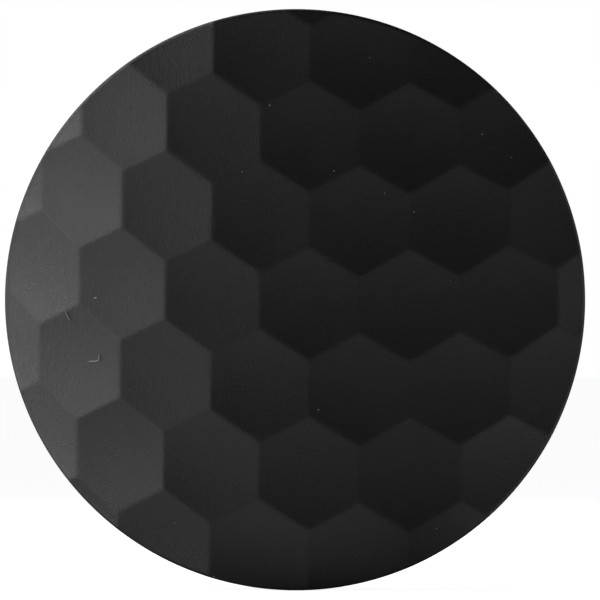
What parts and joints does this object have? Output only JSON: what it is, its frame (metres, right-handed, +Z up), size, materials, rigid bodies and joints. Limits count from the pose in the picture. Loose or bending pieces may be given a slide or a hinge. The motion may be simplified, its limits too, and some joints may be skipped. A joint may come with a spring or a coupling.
{
  "type": "honeycomb grid",
  "caption": "Round crowned honeycomb light grid with a dished hexagon rubber face, corrugated foil core, fluted housing and rear bayonet lock ring.",
  "frame": {"origin": "centre of the spigot on the rear seat plane", "axes": "+Y along the spigot, away from the honeycomb face; the face looks along -Y; +Z up with the cells' points up; +X towards the crest of the bowed face"},
  "size_m": [0.0734, 0.0416, 0.0734],
  "materials": {
    "cap_rubber": "matte, fine grain",
    "housing_plastic": "fine spark texture",
    "lock_plastic": "satin moulding",
    "core_foil": "black anodised foil, satin",
    "felt_black": "short wool felt",
    "magnet_steel": "nickel plated"
  },
  "bodies": {
    "housing": {"core_hoop": "core_foil", "felt_ring": "felt_black", "housing_ring": "housing_plastic", "magnets": "magnet_steel", "ribbon_01": "core_foil", "ribbon_02": "core_foil", "ribbon_03": "core_foil", "ribbon_04": "core_foil", "ribbon_05": "core_foil", "ribbon_06": "core_foil", "ribbon_07": "core_foil", "ribbon_08": "core_foil", "ribbon_09": "core_foil", "ribbon_10": "core_foil", "ribbon_11": "core_foil", "ribbon_12": "core_foil", "ribbon_13": "core_foil"},
    "cap": {"front_cap": "cap_rubber"},
    "lock": {"lock_ring": "lock_plastic"}
  },
  "joints": [
    {"name": "cap_pull", "type": "slide", "parent": "housing", "child": "cap", "axis": [0, -1, 0], "range_m": [0, 0.035]},
    {"name": "lock_turn", "type": "hinge", "parent": "housing", "child": "lock", "pos_m": [0, 0, 0], "axis": [0, 1, 0], "range_deg": [0, 20]}
  ]
}
